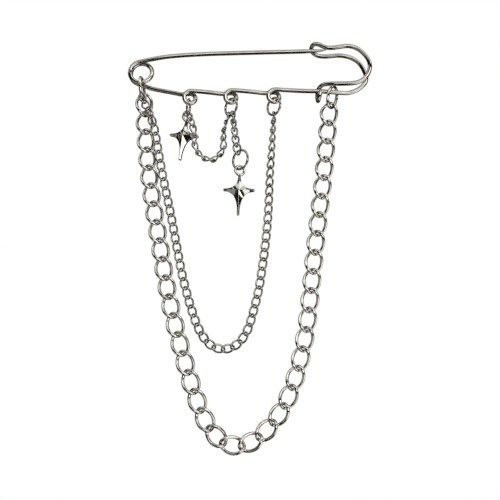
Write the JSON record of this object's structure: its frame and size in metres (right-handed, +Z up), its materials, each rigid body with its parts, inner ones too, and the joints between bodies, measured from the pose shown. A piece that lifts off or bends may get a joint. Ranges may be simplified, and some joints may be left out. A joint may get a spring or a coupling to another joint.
{
  "type": "lapel chain",
  "caption": "Kilt-pin brooch of bent wire with a spring coil, eyes and a sprung pin arm, carrying swags of large and fine curb chain and star charms.",
  "frame": {"origin": "inside the wire of the pin's pointed arm, near the middle of its straight run, where it goes through the lapel's cloth", "axes": "+X to the right along the pin, from the spring coil to the catch head, +Z up, -Y to the front"},
  "size_m": [0.0796, 0.0068, 0.1314],
  "materials": {
    "pin_wire": "polished",
    "chain_wire": "polished",
    "star_metal": "polished cast metal"
  },
  "bodies": {
    "hanging": {"pin_base": "pin_wire", "middle_chain": "chain_wire", "short_chain": "chain_wire", "drop_chain": "chain_wire", "ring_left_eye": "chain_wire", "ring_middle_eye": "chain_wire", "ring_right_eye": "chain_wire", "ring_right_star": "chain_wire", "star_left": "star_metal", "star_right": "star_metal", "large_link_01": "chain_wire", "large_link_02": "chain_wire", "large_link_03": "chain_wire", "large_link_04": "chain_wire", "large_link_05": "chain_wire", "large_link_06": "chain_wire", "large_link_07": "chain_wire", "large_link_08": "chain_wire", "large_link_09": "chain_wire", "large_link_10": "chain_wire", "large_link_11": "chain_wire", "large_link_12": "chain_wire", "large_link_13": "chain_wire", "large_link_14": "chain_wire", "large_link_15": "chain_wire", "large_link_16": "chain_wire", "large_link_17": "chain_wire", "large_link_18": "chain_wire", "large_link_19": "chain_wire", "large_link_20": "chain_wire", "large_link_21": "chain_wire", "large_link_22": "chain_wire", "large_link_23": "chain_wire", "large_link_24": "chain_wire", "large_link_25": "chain_wire", "large_link_26": "chain_wire", "large_link_27": "chain_wire", "large_link_28": "chain_wire", "large_link_29": "chain_wire", "large_link_30": "chain_wire", "large_link_31": "chain_wire", "large_link_32": "chain_wire", "large_link_33": "chain_wire", "large_link_34": "chain_wire", "large_link_35": "chain_wire", "large_link_36": "chain_wire", "large_link_37": "chain_wire", "large_link_38": "chain_wire", "large_link_39": "chain_wire", "large_link_40": "chain_wire", "large_link_41": "chain_wire"},
    "arm": {"pin_arm": "pin_wire"}
  },
  "joints": [
    {"name": "arm_press", "type": "hinge", "parent": "hanging", "child": "arm", "pos_m": [-0.0286, 0, -0.0066], "axis": [0, 1, 0], "range_deg": [0, 8], "stiffness_Nm_per_rad": 0.01, "springref_deg": -20.05}
  ]
}
